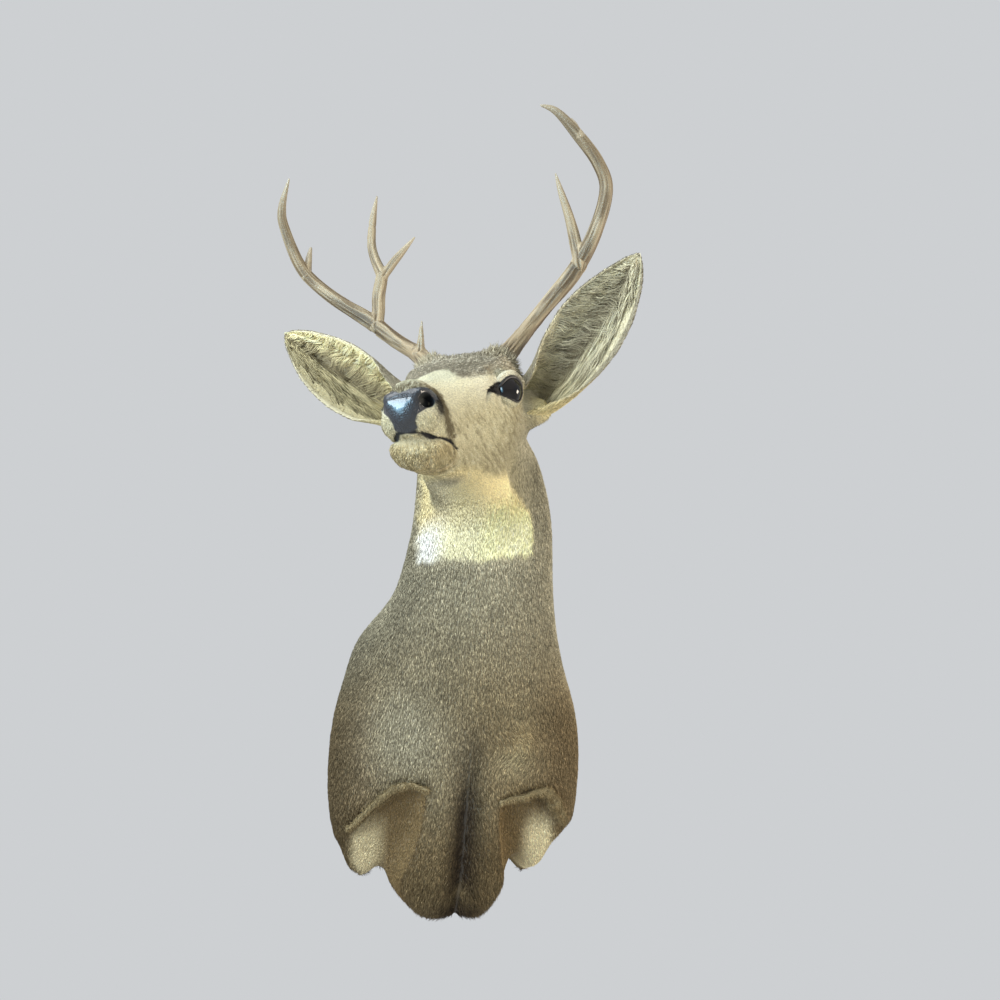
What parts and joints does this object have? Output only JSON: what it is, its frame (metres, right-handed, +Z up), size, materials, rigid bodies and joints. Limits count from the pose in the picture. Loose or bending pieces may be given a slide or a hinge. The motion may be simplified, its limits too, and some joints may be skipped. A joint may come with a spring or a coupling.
{
  "type": "deer shoulder mount",
  "caption": "Mule deer buck's head, neck and shoulders mounted on a backing board to hang on a wall, head turned to its right, with branched antlers.",
  "frame": {"origin": "middle of the backing board's rear face, on the wall", "axes": "+Z up, +Y into the wall, +X to the deer's left; the deer faces -Y with its head turned to its right"},
  "size_m": [0.4773, 0.6315, 0.9393],
  "materials": {
    "coat": "short grizzled grey-brown fur",
    "antler": "satin antler, ivory at the tips",
    "nose": "wet black pebbled skin",
    "eye": "polished dark glass",
    "board": "bare plywood"
  },
  "bodies": {
    "root": {"trunk": "coat", "foreleg_left": "coat", "foreleg_right": "coat", "neck": "coat", "head": "coat", "lower_jaw": "coat", "ear_left": "coat", "ear_right": "coat", "antler_left_beam": "antler", "antler_left_tip": "antler", "antler_left_rear_tine": "antler", "antler_left_snag": "antler", "antler_right_beam": "antler", "antler_right_tip": "antler", "antler_right_stem": "antler", "antler_right_rear_tine": "antler", "antler_right_inner_tine": "antler", "antler_right_knob": "antler", "antler_right_brow": "antler", "nose_pad": "nose", "eye_left": "eye", "eye_right": "eye", "backboard": "board"}
  },
  "joints": []
}
